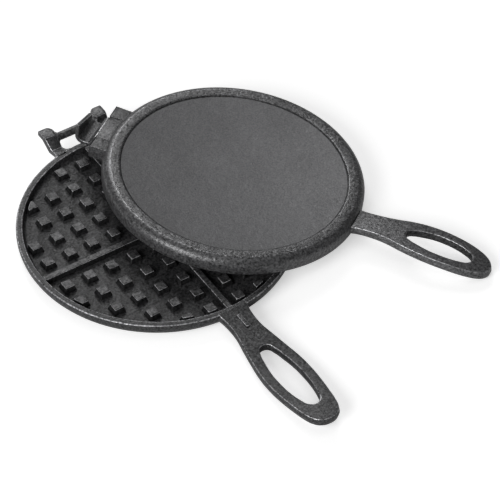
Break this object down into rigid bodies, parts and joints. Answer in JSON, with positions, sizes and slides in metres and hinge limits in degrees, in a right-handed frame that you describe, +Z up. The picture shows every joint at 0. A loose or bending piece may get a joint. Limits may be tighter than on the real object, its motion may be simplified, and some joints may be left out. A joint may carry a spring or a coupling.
{
  "type": "stovetop waffle iron",
  "caption": "Round cast-iron stovetop waffle iron: a lower plate and an upper plate with studs and ribs inside, long handles with a hole, and a lift-off hook hinge",
  "frame": {"origin": "Centre of the flat underside of the lower iron, on the surface that it stands on.", "axes": "+Z up, away from that surface. -Y along the lower handle, towards the user. +Y towards the hinge bar. +X to the user's right, towards the upper iron as it lies in the picture."},
  "size_m": [0.2828, 0.3399, 0.0403],
  "materials": {
    "lower_iron": "seasoned dark grey casting, satin, fine sand grain",
    "upper_iron": "seasoned dark grey casting, satin, fine sand grain"
  },
  "bodies": {
    "lower_iron": {"lower_plate": "lower_iron", "lower_rim": "lower_iron", "lower_divider_ribs": "lower_iron", "lower_studs": "lower_iron", "lower_handle": "lower_iron", "lower_hinge_arms": "lower_iron", "lower_hinge_bar": "lower_iron"},
    "upper_iron": {"upper_plate": "upper_iron", "upper_rim": "upper_iron", "upper_divider_ribs": "upper_iron", "upper_studs": "upper_iron", "upper_handle": "upper_iron", "upper_hook": "upper_iron", "upper_hook_ears": "upper_iron"}
  },
  "joints": [
    {"name": "upper_iron_opening", "type": "hinge", "parent": "lower_iron", "child": "upper_iron", "pos_m": [0.00452, 0.09262, 0.0287], "axis": [-0.8174, -0.571, 0.0765], "range_deg": [0, 90]}
  ]
}
